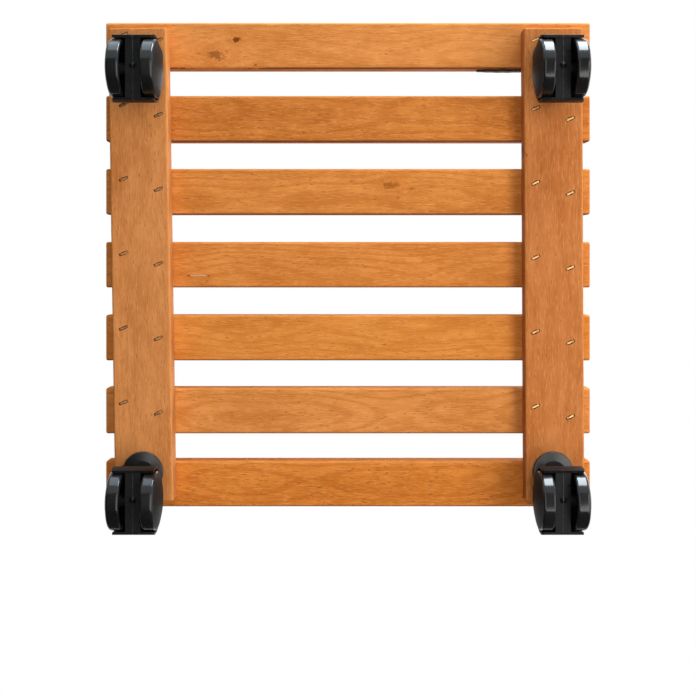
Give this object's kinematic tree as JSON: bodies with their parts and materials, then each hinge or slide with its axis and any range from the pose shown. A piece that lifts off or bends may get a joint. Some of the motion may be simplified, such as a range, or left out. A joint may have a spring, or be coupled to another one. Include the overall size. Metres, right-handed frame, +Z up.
{
  "type": "plant caddy",
  "caption": "Square slatted wooden deck on cross battens with a swivelling twin-wheel caster under each corner, for rolling a heavy potted plant.",
  "frame": {"origin": "on the floor, under the middle of the whole object's box with every caster trailing toward -X; the deck's own middle stands 4 mm toward +X from it", "axes": "+Z up; the slats run along Y and the battens along X; all casters trail toward -X at rest"},
  "size_m": [0.358, 0.35, 0.08],
  "materials": {
    "slat_wood": "oiled outdoor hardwood, warm orange brown, sanded",
    "batten_wood": "oiled outdoor hardwood, slightly pinker brown, sanded",
    "staple_steel": "galvanised staple wire",
    "socket_nylon": "smooth black nylon",
    "pin_steel": "bright zinc-plated turned steel",
    "housing_nylon": "semi-gloss black nylon",
    "axle_steel": "plain turned steel",
    "wheel_plastic": "glossy black nylon tread, finely textured bare faces"
  },
  "bodies": {
    "frame": {"slat_1": "slat_wood", "slat_2": "slat_wood", "slat_3": "slat_wood", "slat_4": "slat_wood", "slat_5": "slat_wood", "slat_6": "slat_wood", "slat_7": "slat_wood", "batten_front": "batten_wood", "batten_back": "batten_wood", "staples_front": "staple_steel", "staples_back": "staple_steel", "caster_front_left_socket": "socket_nylon", "caster_front_left_pin": "pin_steel", "caster_front_left_grip_ring": "pin_steel", "caster_front_right_socket": "socket_nylon", "caster_front_right_pin": "pin_steel", "caster_front_right_grip_ring": "pin_steel", "caster_back_left_socket": "socket_nylon", "caster_back_left_pin": "pin_steel", "caster_back_left_grip_ring": "pin_steel", "caster_back_right_socket": "socket_nylon", "caster_back_right_pin": "pin_steel", "caster_back_right_grip_ring": "pin_steel"},
    "caster_front_left": {"caster_front_left_housing": "housing_nylon", "caster_front_left_axle": "axle_steel"},
    "wheel_front_left_outer": {"caster_front_left_wheel_outer": "wheel_plastic"},
    "wheel_front_left_inner": {"caster_front_left_wheel_inner": "wheel_plastic"},
    "caster_front_right": {"caster_front_right_housing": "housing_nylon", "caster_front_right_axle": "axle_steel"},
    "wheel_front_right_outer": {"caster_front_right_wheel_outer": "wheel_plastic"},
    "wheel_front_right_inner": {"caster_front_right_wheel_inner": "wheel_plastic"},
    "caster_back_left": {"caster_back_left_housing": "housing_nylon", "caster_back_left_axle": "axle_steel"},
    "wheel_back_left_outer": {"caster_back_left_wheel_outer": "wheel_plastic"},
    "wheel_back_left_inner": {"caster_back_left_wheel_inner": "wheel_plastic"},
    "caster_back_right": {"caster_back_right_housing": "housing_nylon", "caster_back_right_axle": "axle_steel"},
    "wheel_back_right_outer": {"caster_back_right_wheel_outer": "wheel_plastic"},
    "wheel_back_right_inner": {"caster_back_right_wheel_inner": "wheel_plastic"}
  },
  "joints": [
    {"name": "front_left_swivel", "type": "hinge", "parent": "frame", "child": "caster_front_left", "pos_m": [-0.1427, -0.1452, 0.05], "axis": [0, 0, 1], "continuous": true},
    {"name": "front_left_outer_spin", "type": "hinge", "parent": "caster_front_left", "child": "wheel_front_left_outer", "pos_m": [-0.1562, -0.1562, 0.02], "axis": [0, 1, 0], "continuous": true},
    {"name": "front_left_inner_spin", "type": "hinge", "parent": "caster_front_left", "child": "wheel_front_left_inner", "pos_m": [-0.1562, -0.1342, 0.02], "axis": [0, 1, 0], "continuous": true},
    {"name": "front_right_swivel", "type": "hinge", "parent": "frame", "child": "caster_front_right", "pos_m": [0.1507, -0.1452, 0.05], "axis": [0, 0, 1], "continuous": true},
    {"name": "front_right_outer_spin", "type": "hinge", "parent": "caster_front_right", "child": "wheel_front_right_outer", "pos_m": [0.1372, -0.1562, 0.02], "axis": [0, 1, 0], "continuous": true},
    {"name": "front_right_inner_spin", "type": "hinge", "parent": "caster_front_right", "child": "wheel_front_right_inner", "pos_m": [0.1372, -0.1342, 0.02], "axis": [0, 1, 0], "continuous": true},
    {"name": "back_left_swivel", "type": "hinge", "parent": "frame", "child": "caster_back_left", "pos_m": [-0.1427, 0.1452, 0.05], "axis": [0, 0, 1], "continuous": true},
    {"name": "back_left_outer_spin", "type": "hinge", "parent": "caster_back_left", "child": "wheel_back_left_outer", "pos_m": [-0.1562, 0.1562, 0.02], "axis": [0, 1, 0], "continuous": true},
    {"name": "back_left_inner_spin", "type": "hinge", "parent": "caster_back_left", "child": "wheel_back_left_inner", "pos_m": [-0.1562, 0.1342, 0.02], "axis": [0, 1, 0], "continuous": true},
    {"name": "back_right_swivel", "type": "hinge", "parent": "frame", "child": "caster_back_right", "pos_m": [0.1507, 0.1452, 0.05], "axis": [0, 0, 1], "continuous": true},
    {"name": "back_right_outer_spin", "type": "hinge", "parent": "caster_back_right", "child": "wheel_back_right_outer", "pos_m": [0.1372, 0.1562, 0.02], "axis": [0, 1, 0], "continuous": true},
    {"name": "back_right_inner_spin", "type": "hinge", "parent": "caster_back_right", "child": "wheel_back_right_inner", "pos_m": [0.1372, 0.1342, 0.02], "axis": [0, 1, 0], "continuous": true}
  ]
}
